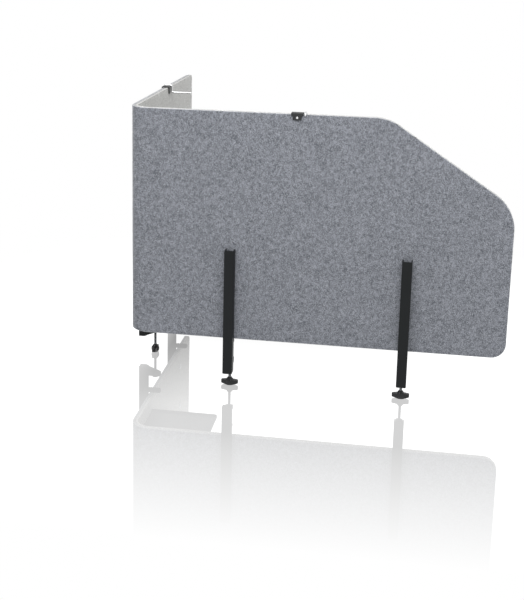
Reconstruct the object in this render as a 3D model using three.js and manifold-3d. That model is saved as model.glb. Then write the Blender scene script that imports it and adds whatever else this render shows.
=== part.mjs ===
// Acoustic divider screen for the corner of a desk. One moulded felt panel wraps the corner in two
// bonded skins. Four black channel bars on its outer face carry it, and each bar ends in a clamp: a
// fixed jaw above the desk top, and below it a spindle with a winged knob that lifts a pressure pad.
// Two saddles with hook rods sit on the top edge, and a folded plate stiffens the inner corner.
//
// Millimetres, Z up, floor at zero with the spindles wound right down. While it is built, X runs along
// the front wing and Y along the side wing, both from the panel's outer corner.

import * as THREE from "three";
import { mergeVertices } from "three/addons/utils/BufferGeometryUtils.js";
import Module from "manifold-3d";

const wasm = await Module();
wasm.setup();

// Clearances that every piece shares
const seatGap = 0.3; // between two pieces that touch
const runningGap = 0.12; // round the spindle, where it turns in its bush
const overrun = 5; // how far a cutting body passes the face that it cuts
const weldDistance = 1e-3;

// Felt panel
const frontWing = 800; // a standard desk depth, from the outer corner
const sideWing = 600;
const panelHeight = 490;
const feltThickness = 12;
const bendRadius = 45; // outer face
const slopeRun = 261; // the front wing's sloping shoulder, measured along the wing
const slopeDrop = 173;
const slopeRadius = 80;
const frontFootRadius = 30;
const sideCornerRadius = 12;
const bendSegments = 16;
const cornerSegments = 9;

// Channel bar: a U of folded steel with its open side against the felt
const barWidth = 21;
const barDepth = 19.2;
const barWall = 2;
const barFoldRadius = 2.5;
const barFootRadius = 2;
const barOnFelt = 199; // how far the bar reaches up the felt

// Clamp
const armReach = 31; // from the panel's outer face to the jaws' tips
const armWidth = 14; // of both jaws, where they stand clear of the bar
const armRootDepth = 22;
const armTipDepth = 8;
const armFlatRun = 12; // level stretch of the foot, from the bar's outer face
const armTenonRise = 30; // the arm's root stands this far up inside the bar
const armTenonDepth = 9;
const jawThickness = 6;
const jawTipRadius = 4;
const edgeRadius = 0.6;
const largestDesk = 30; // the thickest desk top that the clamp takes
const feltAboveJaw = 10.4;
const jawRubber = 2;
const rubberMargin = 1.5;
const rubberRadius = 3;
const grooveWidth = 1.2;
const grooveDepth = 0.8;
const grooveCount = 2;

// Spindle, bush and pad
const spindleInset = 13; // from the arm's tip back to the spindle's axis
const spindleRadius = 3;
const spindleChamfer = 0.6;
const spindleTipRadius = 2;
const spindleTipLength = 1.7;
const spindleInKnob = 11;
const threadShown = 20; // bare thread between the knob and the bar's foot
const bushRadius = 4.5;
const bushLength = 9;
const collarRadius = 5.4;
const collarHeight = 1.2;
const padRadius = 7;
const padThickness = 3;
const padChamfer = 0.6;

// Winged knob
const knobHeight = 18;
const knobHalfLength = 18.5;
const knobLandRadius = 4.5; // the flat that it stands on
const knobHubRadius = 9.2;
const knobHubFlare = 4.5; // height at which the hub is widest
const knobHubTopRadius = 4.3;
const knobShoulder = 10; // where the hub's cone starts
const wingRootHalf = 6.5;
const wingTipHalf = 4.2;
const wingTipFoot = 4;
const wingTipTop = 10.8;
const wingRootTop = 12.6;
const wingTipRoundShare = 0.7; // of the tip's half width

// Fixings through the felt
const stripThickness = 2.5;
const stripMargin = 18; // from the felt's foot and from the bar's top
const stripBossRadius = 4;
const stripBossDepth = 4;
const feltScrewRadius = 2;
const feltScrewHead = 7;
const feltScrewHeadHeight = 2;
const feltScrewHeightShares = [0.16, 0.84]; // along the strip
const headRimShare = 0.88; // a screw head's crown, of its radius and height
const headRimHeightShare = 0.6;
const headCrownShare = 0.5;

// Saddle clips and hook rods on the top edge
const saddleWidth = 25;
const saddleSheet = 2.4;
const saddleBrow = 3; // the wide part hangs this far below the felt's top edge
const saddleTabWidth = 18;
const saddleTabDrop = 12;
const saddleTabRadius = 1.5;
const saddleInnerWidth = 12;
const saddleInnerDrop = 15;
const clipScrewDrop = 7;
const clipScrewRadius = 1.5;
const clipScrewHead = 2.6;
const clipScrewHeadHeight = 1.1;
const hookRadius = 2.2;
const hookBend = 1.5; // inside each bend
const hookSide = 1.8; // space between saddle and rod
const hookLipDrop = 3;
const hookDrop = 14; // from the felt's top edge down to the arm's centre line
const hookReach = 62; // from the panel's outer face to the arm's tip
const hookSegments = 12;

// Folded corner plate
const plateReach = 170; // from each outer face to the free edges
const plateSheet = 2;
const plateAboveFoot = 34; // the plate's underside over the felt's foot
const plateLip = 4;
const plateCornerRadius = 8;
const flangeHeight = 18;
const flangeEndRadius = 5;
const flangeStart = 60;
const flangeEnd = 156;
const plateScrewShares = [0.2, 0.8]; // along the flange
const plateScrewRadius = 2;
const plateScrewHead = 4;
const plateScrewHeadHeight = 2;
const plateScrewInFelt = 8.5;

// Facets round small turned pieces
const turnedSegments = 18;
const screwSegments = 8;
const foldSegments = 3; // round each fold and each small corner

// Heights and depths that follow
const barFoot = knobHeight + threadShown;
const armTop = barFoot + armRootDepth;
const padTop = armTop + seatGap + padThickness;
const rubberFoot = padTop + largestDesk;
const jawFoot = rubberFoot + jawRubber + seatGap;
const jawTop = jawFoot + jawThickness;
const feltFoot = jawTop + feltAboveJaw;
const feltTop = feltFoot + panelHeight;
const barTop = feltFoot + barOnFelt;
const barFace = -(seatGap + barDepth); // the web's outer face, outside the felt
const barInside = barFace + barWall;
const tongueWidth = barWidth - (barWall + seatGap) * 2;
const armSlope = (armTop - armTipDepth - barFoot) / (armReach - barFace - armFlatRun);
const spindleAxis = armReach - spindleInset;
const skinThickness = (feltThickness - seatGap) / 2;
const stripFoot = feltFoot + stripMargin;
const stripLength = barTop - stripMargin - stripFoot;
const feltScrewHeights = feltScrewHeightShares.map((share) => stripFoot + share * stripLength);
const clipScrewHeight = feltTop - clipScrewDrop;
const plateFoot = feltFoot + plateAboveFoot;
const plateScrewHeight = plateFoot + plateSheet + flangeHeight / 2;
const plateScrewsAlong = plateScrewShares.map((share) => flangeStart + share * (flangeEnd - flangeStart));

// Where the clamps stand, from the outer corner along their wing
const clamps = [
  { name: "front_1", wing: "front", along: 222.5 },
  { name: "front_2", wing: "front", along: 591 },
  { name: "side_1", wing: "side", along: 178 },
  { name: "side_2", wing: "side", along: 477 },
];

// Where the clips sit, each with its hook rod on the side away from the corner
const clips = [
  { wing: "front", along: 355, rodSide: 1 },
  { wing: "side", along: 332, rodSide: -1 },
];

// Materials, one for each mesh
const looks = {
  outerFelt: { color: 0x8c8e94, roughness: 1, metalness: 0 },
  innerFelt: { color: 0xb6b6b3, roughness: 1, metalness: 0 },
  blackCoat: { color: 0x202224, roughness: 0.5, metalness: 0 },
  blackPlastic: { color: 0x1b1c1e, roughness: 0.45, metalness: 0 },
  rubber: { color: 0x151515, roughness: 0.85, metalness: 0 },
  darkSteel: { color: 0x3c3d3f, roughness: 0.35, metalness: 1 },
  zinc: { color: 0xb9bcbf, roughness: 0.35, metalness: 1 },
  brightSteel: { color: 0xd9dadb, roughness: 0.25, metalness: 1 },
  greyCoat: { color: 0x7d7f82, roughness: 0.55, metalness: 0 },
};

// A closed geometry as a solid that can be joined and cut
function solid(geometry) {
  const bare = geometry.index ? geometry.toNonIndexed() : geometry.clone();
  bare.deleteAttribute("normal");
  bare.deleteAttribute("uv");
  const merged = mergeVertices(bare, weldDistance);
  const vertProperties = merged.attributes.position.array;
  const triVerts = new Uint32Array(merged.index.array);
  return new wasm.Manifold(new wasm.Mesh({ numProp: 3, vertProperties, triVerts }));
}

// The solid's surface as a geometry
function geometryOf(body) {
  const { vertProperties, triVerts } = body.getMesh();
  const geometry = new THREE.BufferGeometry();
  geometry.setAttribute("position", new THREE.BufferAttribute(vertProperties, 3));
  geometry.setIndex(new THREE.BufferAttribute(triVerts, 1));
  geometry.computeVertexNormals();
  return geometry;
}

// A named mesh with a material of its own
function piece(name, body, look) {
  const mesh = new THREE.Mesh(geometryOf(body), new THREE.MeshStandardMaterial(looks[look]));
  mesh.name = name;
  return mesh;
}

// A run of straight lines whose corners, each [x, y, radius], are rounded with tangent arcs
function roundedRun(corners) {
  const shape = new THREE.Shape();
  corners.forEach(([x, y, radius], i) => {
    const corner = new THREE.Vector2(x, y);
    const before = corners.at(i - 1);
    const after = corners[(i + 1) % corners.length];
    const back = new THREE.Vector2(before[0] - x, before[1] - y).normalize();
    const ahead = new THREE.Vector2(after[0] - x, after[1] - y).normalize();
    const half = Math.acos(THREE.MathUtils.clamp(back.dot(ahead), -1, 1)) / 2;
    const start = corner.clone().addScaledVector(back, radius / Math.tan(half));
    if (i === 0) shape.moveTo(start.x, start.y);
    else shape.lineTo(start.x, start.y);
    if (!radius) return;
    const end = corner.clone().addScaledVector(ahead, radius / Math.tan(half));
    const middle = back.clone().add(ahead).normalize();
    const centre = corner.clone().addScaledVector(middle, radius / Math.sin(half));
    const from = Math.atan2(start.y - centre.y, start.x - centre.x);
    const to = Math.atan2(end.y - centre.y, end.x - centre.x);
    shape.absarc(centre.x, centre.y, radius, from, to, back.cross(ahead) > 0);
  });
  return shape;
}

// The same, closed
function outline(corners) {
  const shape = roundedRun(corners);
  shape.closePath();
  return shape;
}

// A rectangle between two corners, all four rounded alike
function rectangle(left, low, right, high, radius = 0) {
  return outline([
    [left, low, radius],
    [right, low, radius],
    [right, high, radius],
    [left, high, radius],
  ]);
}

// A shape drawn in X and Y, raised from one height to another
function raised(shape, from, to, segments = cornerSegments) {
  const settings = { depth: to - from, bevelEnabled: false, curveSegments: segments };
  return solid(new THREE.ExtrudeGeometry(shape, settings).translate(0, 0, from));
}

const drawnInXZ = new THREE.Matrix4().makeBasis(
  new THREE.Vector3(1, 0, 0),
  new THREE.Vector3(0, 0, 1),
  new THREE.Vector3(0, -1, 0),
);
const drawnInYZ = new THREE.Matrix4().makeBasis(
  new THREE.Vector3(0, 1, 0),
  new THREE.Vector3(0, 0, 1),
  new THREE.Vector3(1, 0, 0),
);

// A shape drawn in X and Z, carried along Y
function carriedBack(shape, from, to, segments = cornerSegments) {
  const settings = { depth: to - from, bevelEnabled: false, curveSegments: segments };
  return solid(new THREE.ExtrudeGeometry(shape, settings).applyMatrix4(drawnInXZ).translate(0, to, 0));
}

// A shape drawn in Y and Z, carried along X
function carriedAcross(shape, from, to, segments = cornerSegments) {
  const settings = { depth: to - from, bevelEnabled: false, curveSegments: segments };
  return solid(new THREE.ExtrudeGeometry(shape, settings).applyMatrix4(drawnInYZ).translate(from, 0, 0));
}

// A profile of [radius, height] points turned about the Z axis; it starts and ends on the axis
function turned(profile, segments = turnedSegments) {
  const points = profile.map(([radius, height]) => new THREE.Vector2(radius, height));
  return solid(new THREE.LatheGeometry(points, segments).rotateX(Math.PI / 2));
}

// A round pin or drill along Z; a drill's facets stay outside its stated radius
function pin(radius, from, to, segments = turnedSegments) {
  return turned([[0, from], [radius, from], [radius, to], [0, to]], segments);
}

function drill(radius, from, to, segments = turnedSegments) {
  return pin(radius / Math.cos(Math.PI / segments), from, to, segments);
}

// A round rod whose centre line runs through corners in Y and Z; the first and last have no radius
function bentRod(corners, radius, segments) {
  const line = roundedRun(corners)
    .getPoints(foldSegments)
    .filter((point, i, all) => i === 0 || point.distanceTo(all[i - 1]) > weldDistance);
  const positions = [];
  line.forEach((point, i) => {
    const arriving = point.clone().sub(line[i - 1] ?? point).normalize();
    const leaving = (line[i + 1] ?? point).clone().sub(point).normalize();
    const along = arriving.clone().add(leaving).normalize();
    const mitre = radius / along.dot(leaving.length() ? leaving : arriving);
    for (let k = 0; k < segments; k++) {
      const angle = (Math.PI * 2 * k) / segments;
      const inPlane = mitre * Math.cos(angle);
      positions.push(radius * Math.sin(angle), point.x - along.y * inPlane, point.y + along.x * inPlane);
    }
  });
  const faces = [];
  for (let k = 0; k < segments; k++) {
    const next = (k + 1) % segments;
    for (let base = 0; base < (line.length - 1) * segments; base += segments) {
      faces.push(base + k, base + next, base + segments + next);
      faces.push(base + k, base + segments + next, base + segments + k);
    }
  }
  const last = (line.length - 1) * segments;
  for (let k = 1; k < segments - 1; k++) {
    faces.push(0, k + 1, k);
    faces.push(last, last + k, last + k + 1);
  }
  const geometry = new THREE.BufferGeometry();
  geometry.setAttribute("position", new THREE.Float32BufferAttribute(positions, 3));
  geometry.setIndex(faces);
  return solid(geometry);
}

// A body built along Z laid down to point along Y, from the felt's outer side inwards
function laidInward(body) {
  return body.rotate([-90, 0, 0]);
}

// A body built at the front wing's outer face, moved to its place on either wing
function onWing(body, { wing, along }) {
  return wing === "front" ? body.translate([along, 0, 0]) : body.rotate([0, 0, -90]).translate([0, along, 0]);
}

// A group whose own frame is a place on either wing: X along the wing, Y inwards
function wingGroup({ wing, along }) {
  const group = new THREE.Group();
  if (wing === "front") group.position.x = along;
  else {
    group.position.y = along;
    group.rotation.z = -Math.PI / 2;
  }
  return group;
}

// Felt panel

// One skin in plan: both wings and the bend between them, from one depth to another below the outer face
function wrapPlan(outer, inner) {
  const shape = new THREE.Shape();
  shape.moveTo(outer, sideWing);
  shape.lineTo(outer, bendRadius);
  shape.absarc(bendRadius, bendRadius, bendRadius - outer, Math.PI, Math.PI * 1.5, false);
  shape.lineTo(frontWing, outer);
  shape.lineTo(frontWing, inner);
  shape.lineTo(bendRadius, inner);
  shape.absarc(bendRadius, bendRadius, bendRadius - inner, Math.PI * 1.5, Math.PI, true);
  shape.lineTo(inner, sideWing);
  shape.closePath();
  return shape;
}

// What the trimming knife leaves: the front wing's sloping shoulder and all rounded corners
function trimmedOutline() {
  const front = outline([
    [-overrun, feltFoot, 0],
    [frontWing, feltFoot, frontFootRadius],
    [frontWing, feltTop - slopeDrop, slopeRadius],
    [frontWing - slopeRun, feltTop, slopeRadius],
    [-overrun, feltTop, 0],
  ]);
  const side = outline([
    [-overrun, feltFoot, 0],
    [sideWing, feltFoot, sideCornerRadius],
    [sideWing, feltTop, sideCornerRadius],
    [-overrun, feltTop, 0],
  ]);
  const frontPart = carriedBack(front, -overrun, bendRadius);
  return frontPart.add(carriedAcross(side, -overrun, bendRadius));
}

// Drilled holes for every screw that enters the felt, each on its wing
function feltHoles() {
  const holes = [];
  const addHole = (radius, height, place, from) => {
    const hole = laidInward(drill(radius + seatGap, from, feltThickness + overrun, screwSegments));
    holes.push(onWing(hole.translate([0, 0, height]), place));
  };
  for (const place of clamps) {
    for (const height of feltScrewHeights) addHole(feltScrewRadius, height, place, -overrun);
  }
  const plateHoleEnd = feltThickness - plateScrewInFelt - seatGap;
  for (const place of clips) addHole(clipScrewRadius, clipScrewHeight, place, -overrun);
  for (const wing of ["front", "side"]) {
    for (const along of plateScrewsAlong) {
      addHole(plateScrewRadius, plateScrewHeight, { wing, along }, plateHoleEnd);
    }
  }
  return holes;
}

function feltSkin(name, outer, inner, look) {
  let skin = raised(wrapPlan(outer, inner), feltFoot - overrun, feltTop + overrun, bendSegments);
  skin = skin.intersect(trimmedOutline());
  for (const hole of feltHoles()) skin = skin.subtract(hole);
  return piece(name, skin, look);
}

function feltPanel() {
  const group = new THREE.Group();
  group.add(feltSkin("outer_felt", 0, skinThickness, "outerFelt"));
  group.add(feltSkin("inner_felt", skinThickness + seatGap, feltThickness, "innerFelt"));
  return group;
}

// Clamp, in its own frame: X across the bar, Y from the felt's outer face inwards

// What lies above the sloping underside that the bar's foot shares with the lower arm
function aboveUnderside(top) {
  const level = barFace + armFlatRun;
  return outline([
    [barFace - overrun, barFoot, 0],
    [level, barFoot, 0],
    [armReach, barFoot + armSlope * (armReach - level), 0],
    [armReach, top, 0],
    [barFace - overrun, top, 0],
  ]);
}

// The folded channel: its web's corners are rounded, and its sides are cut away under the arm
function channelBar() {
  const half = barWidth / 2;
  const inside = half - barWall;
  const section = outline([
    [-half, barFace, barFoldRadius],
    [half, barFace, barFoldRadius],
    [half, -seatGap, 0],
    [inside, -seatGap, 0],
    [inside, barInside, barFoldRadius - barWall],
    [-inside, barInside, barFoldRadius - barWall],
    [-inside, -seatGap, 0],
    [-half, -seatGap, 0],
  ]);
  const face = outline([
    [-half, barFoot, barFootRadius],
    [half, barFoot, barFootRadius],
    [half, barTop, barFootRadius],
    [-half, barTop, barFootRadius],
  ]);
  const folded = raised(section, barFoot, barTop, foldSegments);
  const trimmed = folded.intersect(carriedBack(face, barFace - overrun, overrun, foldSegments));
  return trimmed.intersect(carriedAcross(aboveUnderside(barTop + overrun), -barWidth, barWidth));
}

// Steel strip in the channel's mouth that the felt screws pull against, with a threaded boss for each
function mountingStrip() {
  const half = tongueWidth / 2;
  const face = rectangle(-half, stripFoot, half, stripFoot + stripLength, barFootRadius);
  let strip = carriedBack(face, -seatGap - stripThickness, -seatGap, foldSegments);
  for (const height of feltScrewHeights) {
    const boss = pin(stripBossRadius, -seatGap - stripThickness - stripBossDepth, -seatGap, screwSegments);
    const hole = drill(feltScrewRadius + seatGap, -barDepth, overrun, screwSegments);
    strip = strip.add(laidInward(boss).translate([0, 0, height]));
    strip = strip.subtract(laidInward(hole).translate([0, 0, height]));
  }
  return strip;
}

// Fixed jaw: a steel tongue fastened inside the bar, narrower where it stands clear of it
function upperJaw() {
  const half = armWidth / 2;
  const tongue = tongueWidth / 2;
  const plan = outline([
    [-tongue, barInside + seatGap, 0],
    [tongue, barInside + seatGap, 0],
    [tongue, 0, 0],
    [half, 0, 0],
    [half, armReach, jawTipRadius],
    [-half, armReach, jawTipRadius],
    [-half, 0, 0],
    [-tongue, 0, 0],
  ]);
  return raised(plan, jawFoot, jawTop, foldSegments);
}

// Rubber facing under the fixed jaw, with grooves across it on the side that grips
function jawRubberPad() {
  const half = armWidth / 2 - rubberMargin;
  const near = rubberMargin;
  const far = armReach - rubberMargin;
  const plan = rectangle(-half, near, half, far, rubberRadius);
  let pad = raised(plan, rubberFoot, rubberFoot + jawRubber, foldSegments);
  for (const side of [-1, 1]) {
    for (let i = 1; i <= grooveCount; i++) {
      const middle = (near + far) / 2 + (side * i * (far - near)) / (grooveCount * 2 + 1);
      const groove = rectangle(
        middle - grooveWidth / 2,
        rubberFoot - overrun,
        middle + grooveWidth / 2,
        rubberFoot + grooveDepth,
      );
      pad = pad.subtract(carriedAcross(groove, -barWidth, barWidth));
    }
  }
  return pad;
}

// Cast lower arm: its root stands in the bar, and its underside rises to a slim tip
function lowerArm() {
  const half = armWidth / 2;
  const back = barInside + seatGap;
  const side = outline([
    [back, barFoot, 0],
    [barFace + armFlatRun, barFoot, 0],
    [armReach, armTop - armTipDepth, jawTipRadius / 2],
    [armReach, armTop, edgeRadius],
    [back + armTenonDepth, armTop, 0],
    [back + armTenonDepth, armTop + armTenonRise, edgeRadius],
    [back, armTop + armTenonRise, edgeRadius],
  ]);
  const plan = outline([
    [-tongueWidth / 2, back, 0],
    [tongueWidth / 2, back, 0],
    [tongueWidth / 2, 0, 0],
    [half, 0, 0],
    [half, armReach, jawTipRadius],
    [-half, armReach, jawTipRadius],
    [-half, 0, 0],
    [-tongueWidth / 2, 0, 0],
  ]);
  const sawn = raised(plan, barFoot - overrun, feltFoot, foldSegments);
  const arm = carriedAcross(side, -tongueWidth / 2, tongueWidth / 2, foldSegments).intersect(sawn);
  const bore = drill(bushRadius + seatGap, 0, armTop + overrun);
  const rebate = drill(collarRadius + seatGap, armTop - collarHeight - seatGap, armTop + overrun);
  return arm.subtract(bore.add(rebate).translate([0, spindleAxis, 0]));
}

// Threaded steel bush with a collar, dropped into the arm from above
function threadBush() {
  const top = armTop;
  const shell = turned([
    [0, top - bushLength],
    [bushRadius, top - bushLength],
    [bushRadius, top - collarHeight],
    [collarRadius, top - collarHeight],
    [collarRadius, top],
    [0, top],
  ]);
  return shell.subtract(drill(spindleRadius + runningGap, 0, top + overrun)).translate([0, spindleAxis, 0]);
}

// Spindle: its foot is held in the knob, and its slim tip turns in the pad
function spindle() {
  const foot = knobHeight - spindleInKnob;
  const shoulder = armTop;
  return turned([
    [0, foot],
    [spindleRadius - spindleChamfer, foot],
    [spindleRadius, foot + spindleChamfer],
    [spindleRadius, shoulder - spindleChamfer],
    [spindleRadius - spindleChamfer, shoulder],
    [spindleTipRadius, shoulder],
    [spindleTipRadius, shoulder + spindleTipLength],
    [0, shoulder + spindleTipLength],
  ]).translate([0, spindleAxis, 0]);
}

// Pressure pad that swivels on the spindle's tip
function pressurePad() {
  const foot = armTop + seatGap;
  const disc = turned([
    [0, foot],
    [padRadius - padChamfer, foot],
    [padRadius, foot + padChamfer],
    [padRadius, padTop - padChamfer],
    [padRadius - padChamfer, padTop],
    [0, padTop],
  ]);
  const socketTop = armTop + spindleTipLength + seatGap;
  const socket = drill(spindleTipRadius + seatGap, armTop - overrun, socketTop);
  return disc.subtract(socket).translate([0, spindleAxis, 0]);
}

// Moulded knob: a turned hub that flares to a cone, and two wings that thin towards their tips
function wingKnob() {
  const hub = turned([
    [0, 0],
    [knobLandRadius, 0],
    [knobHubRadius, knobHubFlare],
    [knobHubRadius, knobShoulder],
    [knobHubTopRadius, knobHeight - edgeRadius],
    [knobHubTopRadius - edgeRadius, knobHeight],
    [0, knobHeight],
  ]);
  const plan = outline([
    [-knobHalfLength, -wingTipHalf, wingTipHalf * wingTipRoundShare],
    [0, -wingRootHalf, 0],
    [knobHalfLength, -wingTipHalf, wingTipHalf * wingTipRoundShare],
    [knobHalfLength, wingTipHalf, wingTipHalf * wingTipRoundShare],
    [0, wingRootHalf, 0],
    [-knobHalfLength, wingTipHalf, wingTipHalf * wingTipRoundShare],
  ]);
  const side = outline([
    [-knobLandRadius, 0, 0],
    [knobLandRadius, 0, 0],
    [knobHalfLength, wingTipFoot, edgeRadius],
    [knobHalfLength, wingTipTop, edgeRadius * 2],
    [0, wingRootTop, 0],
    [-knobHalfLength, wingTipTop, edgeRadius * 2],
    [-knobHalfLength, wingTipFoot, edgeRadius],
  ]);
  const tapered = raised(plan, 0, knobHeight, foldSegments);
  const wings = tapered.intersect(carriedBack(side, -wingRootHalf, wingRootHalf, foldSegments));
  const socketFoot = knobHeight - spindleInKnob - seatGap;
  const socket = drill(spindleRadius + seatGap, socketFoot, knobHeight + overrun);
  return hub.add(wings).subtract(socket).translate([0, spindleAxis, 0]);
}

// Screw with a crowned head, along Z from its tip up to the face that its head bears on
function screw(radius, tip, under, head, headHeight) {
  return turned(
    [
      [0, tip],
      [radius, tip],
      [radius, under],
      [head, under],
      [head * headRimShare, under + headHeight * headRimHeightShare],
      [head * headCrownShare, under + headHeight],
      [0, under + headHeight],
    ],
    screwSegments,
  );
}

// Broad-headed screw, from inside the panel through both skins into the mounting strip
function feltScrew(height) {
  const tip = -seatGap - stripThickness - stripBossDepth;
  const body = screw(feltScrewRadius, tip, feltThickness + seatGap, feltScrewHead, feltScrewHeadHeight);
  return laidInward(body).translate([0, 0, height]);
}

function clamp(place) {
  const group = wingGroup(place);
  group.add(piece("channel_bar_" + place.name, channelBar(), "blackCoat"));
  group.add(piece("mounting_strip_" + place.name, mountingStrip(), "zinc"));
  group.add(piece("upper_jaw_" + place.name, upperJaw(), "blackCoat"));
  group.add(piece("jaw_rubber_" + place.name, jawRubberPad(), "rubber"));
  group.add(piece("lower_arm_" + place.name, lowerArm(), "blackCoat"));
  group.add(piece("thread_bush_" + place.name, threadBush(), "zinc"));
  group.add(piece("spindle_" + place.name, spindle(), "darkSteel"));
  group.add(piece("wing_knob_" + place.name, wingKnob(), "blackPlastic"));
  group.add(piece("pressure_pad_" + place.name, pressurePad(), "darkSteel"));
  feltScrewHeights.forEach((height, i) =>
    group.add(piece("felt_screw_" + place.name + "_" + "ab"[i], feltScrew(height), "zinc")),
  );
  return group;
}

// Clips on the top edge, in the same frame as a clamp

// Black saddle: a folded strip over the edge, narrowed to a tab on the outer face
function saddle() {
  const half = saddleWidth / 2;
  const tab = saddleTabWidth / 2;
  const outside = -seatGap;
  const inside = feltThickness + seatGap;
  const under = feltTop + seatGap;
  const section = outline([
    [outside - saddleSheet, feltTop - saddleTabDrop, 0],
    [outside, feltTop - saddleTabDrop, 0],
    [outside, under, 0],
    [inside, under, 0],
    [inside, feltTop - saddleInnerDrop, 0],
    [inside + saddleSheet, feltTop - saddleInnerDrop, 0],
    [inside + saddleSheet, under + saddleSheet, saddleTabRadius],
    [outside - saddleSheet, under + saddleSheet, saddleTabRadius],
  ]);
  const above = under + saddleSheet + overrun;
  const front = outline([
    [-tab, feltTop - saddleTabDrop, saddleTabRadius],
    [tab, feltTop - saddleTabDrop, saddleTabRadius],
    [tab, feltTop - saddleBrow, 0],
    [half, feltTop - saddleBrow, 0],
    [half, above, 0],
    [-half, above, 0],
    [-half, feltTop - saddleBrow, 0],
    [-tab, feltTop - saddleBrow, 0],
  ]);
  const inner = saddleInnerWidth / 2;
  const rear = outline([
    [-inner, feltTop - saddleInnerDrop, saddleTabRadius],
    [inner, feltTop - saddleInnerDrop, saddleTabRadius],
    [inner, feltTop, 0],
    [half, feltTop, 0],
    [half, above, 0],
    [-half, above, 0],
    [-half, feltTop, 0],
    [-inner, feltTop, 0],
  ]);
  const middle = feltThickness / 2;
  const frontHalf = carriedBack(front, -overrun, middle, foldSegments);
  const rearHalf = carriedBack(rear, middle - seatGap, inside + overrun, foldSegments);
  const hole = drill(clipScrewRadius + seatGap, -overrun, inside + overrun, screwSegments);
  const folded = carriedAcross(section, -half, half, foldSegments).intersect(frontHalf.add(rearHalf));
  return folded.subtract(laidInward(hole).translate([0, 0, clipScrewHeight]));
}

// Small bright screw through the saddle and the felt
function clipScrew() {
  const tip = -feltThickness - seatGap - saddleSheet;
  const under = seatGap + saddleSheet + seatGap;
  const body = screw(clipScrewRadius, tip, under, clipScrewHead, clipScrewHeadHeight);
  return body.rotate([90, 0, 0]).translate([0, 0, clipScrewHeight]);
}

// Bright hook rod: a lip over the edge, a leg down the inner face and an arm into the room
function hookRod(rodSide) {
  // The bend clears the felt's sharp corner, so the straight runs stand a little further off it
  const standOff = hookBend - (hookBend - seatGap) * Math.SQRT1_2 + hookRadius;
  const bend = hookBend + hookRadius;
  const rod = bentRod(
    [
      [-standOff, feltTop - hookLipDrop, 0],
      [-standOff, feltTop + standOff, bend],
      [feltThickness + standOff, feltTop + standOff, bend],
      [feltThickness + standOff, feltTop - hookDrop, bend],
      [hookReach, feltTop - hookDrop, 0],
    ],
    hookRadius,
    hookSegments,
  );
  return rod.translate([rodSide * (saddleWidth / 2 + hookSide + hookRadius), 0, 0]);
}

function clip(place) {
  const group = wingGroup(place);
  group.add(piece("saddle_" + place.wing, saddle(), "blackCoat"));
  group.add(piece("clip_screw_" + place.wing, clipScrew(), "brightSteel"));
  group.add(piece("hook_rod_" + place.wing, hookRod(place.rodSide), "brightSteel"));
  return group;
}

// Corner plate: folded sheet with two flanges up the inner faces and two short lips down its free edges
function cornerPlate() {
  const inner = feltThickness + seatGap;
  const top = plateFoot + plateSheet;
  const bend = bendRadius - inner;
  const plan = outline([
    [inner, inner, bend],
    [plateReach, inner, 0],
    [plateReach, plateReach, plateCornerRadius],
    [inner, plateReach, 0],
  ]);
  const hollow = outline([
    [inner - overrun, inner - overrun, 0],
    [plateReach - plateSheet, inner - overrun, 0],
    [plateReach - plateSheet, plateReach - plateSheet, plateCornerRadius - plateSheet],
    [inner - overrun, plateReach - plateSheet, 0],
  ]);
  const tray = raised(plan, plateFoot - plateLip, top).subtract(
    raised(hollow, plateFoot - plateLip - overrun, plateFoot),
  );
  const face = outline([
    [flangeStart, plateFoot, 0],
    [flangeEnd, plateFoot, 0],
    [flangeEnd, top + flangeHeight, flangeEndRadius],
    [flangeStart, top + flangeHeight, flangeEndRadius],
  ]);
  const frontFlange = carriedBack(face, inner, inner + plateSheet, foldSegments);
  const sideFlange = carriedAcross(face, inner, inner + plateSheet, foldSegments);
  let plate = tray.add(frontFlange).add(sideFlange);
  for (const wing of ["front", "side"]) {
    for (const along of plateScrewsAlong) {
      const hole = drill(plateScrewRadius + seatGap, 0, inner + plateSheet + overrun, screwSegments);
      plate = plate.subtract(onWing(laidInward(hole).translate([0, 0, plateScrewHeight]), { wing, along }));
    }
  }
  return plate;
}

// Pan-headed screw from the flange into the felt
function plateScrew() {
  const tip = feltThickness - plateScrewInFelt;
  const under = feltThickness + seatGap + plateSheet + seatGap;
  const body = screw(plateScrewRadius, tip, under, plateScrewHead, plateScrewHeadHeight);
  return laidInward(body).translate([0, 0, plateScrewHeight]);
}

function cornerBracket() {
  const group = new THREE.Group();
  group.add(piece("corner_plate", cornerPlate(), "greyCoat"));
  for (const wing of ["front", "side"]) {
    plateScrewsAlong.forEach((along, i) => {
      const place = wingGroup({ wing, along });
      place.add(piece("plate_screw_" + wing + "_" + "ab"[i], plateScrew(), "zinc"));
      group.add(place);
    });
  }
  return group;
}

// The whole screen, moved so that its origin is the middle of its footprint on the floor
const screen = new THREE.Group();
screen.add(feltPanel(), cornerBracket());
for (const place of clips) screen.add(clip(place));
for (const place of clamps) screen.add(clamp(place));
screen.position.set(-(frontWing + barFace) / 2, -(sideWing + barFace) / 2, 0);

const part = new THREE.Group();
part.add(screen);
export default part;
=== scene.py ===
# Corner desk screen of moulded felt, standing on its clamp knobs on a glossy white studio floor.
# Two bonded felt skins wrap the corner, four black channel bars carry them on the outer face, and
# each bar ends in a desk clamp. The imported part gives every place; everything is in metres, Z up.

import math

import bmesh
import bpy
from mathutils import Matrix, Vector


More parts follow.
